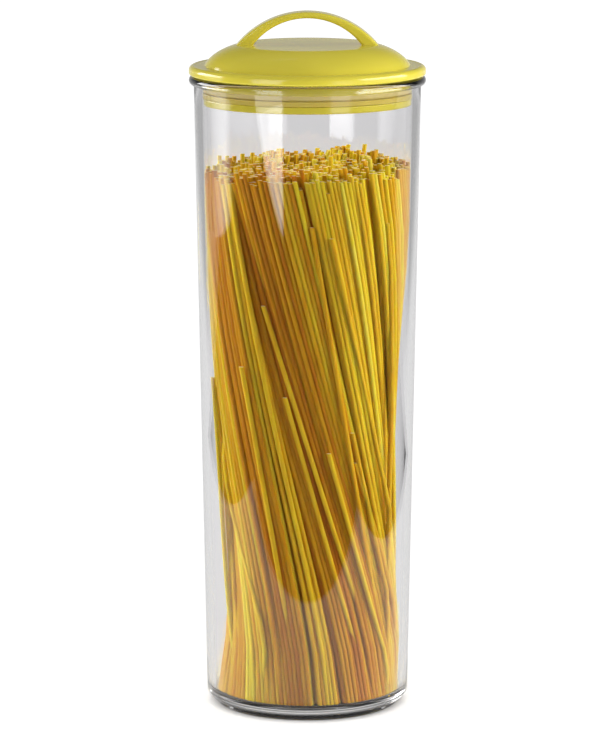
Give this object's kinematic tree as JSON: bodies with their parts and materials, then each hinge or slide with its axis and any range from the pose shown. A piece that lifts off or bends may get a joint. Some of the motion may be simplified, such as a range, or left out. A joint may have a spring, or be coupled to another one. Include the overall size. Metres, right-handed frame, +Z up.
{
  "type": "food canister",
  "caption": "Tall round clear canister for long pasta with a domed push-in lid, an arched handle, a silicone seal and a filling of spaghetti.",
  "frame": {"origin": "middle of the foot's underside, where the canister stands", "axes": "+Z up along the canister's axis; the handle's arch spans X, and -Y is the front"},
  "size_m": [0.108, 0.108, 0.3207],
  "materials": {
    "clear_acrylic": "polished, clear",
    "yellow_plastic": "polished, opaque",
    "seal_silicone": "satin, translucent",
    "dry_pasta": "matte, slightly waxy"
  },
  "bodies": {
    "canister": {"canister_body": "clear_acrylic"},
    "seal": {"seal_ring": "seal_silicone"},
    "lid": {"lid_shell": "yellow_plastic", "lid_handle": "yellow_plastic", "lid_plug": "yellow_plastic"},
    "spaghetti": {"spaghetti_bundle": "dry_pasta"}
  },
  "joints": [
    {"name": "lid_lift", "type": "slide", "parent": "canister", "child": "seal", "axis": [0, 0, 1], "range_m": [0, 0.12]},
    {"name": "lid_turn", "type": "hinge", "parent": "seal", "child": "lid", "pos_m": [0, 0, 0.286], "axis": [0, 0, 1], "continuous": true},
    {"name": "spaghetti_shift", "type": "slide", "parent": "canister", "child": "spaghetti", "axis": [0, 0, 1], "range_m": [0, 0.02]}
  ]
}
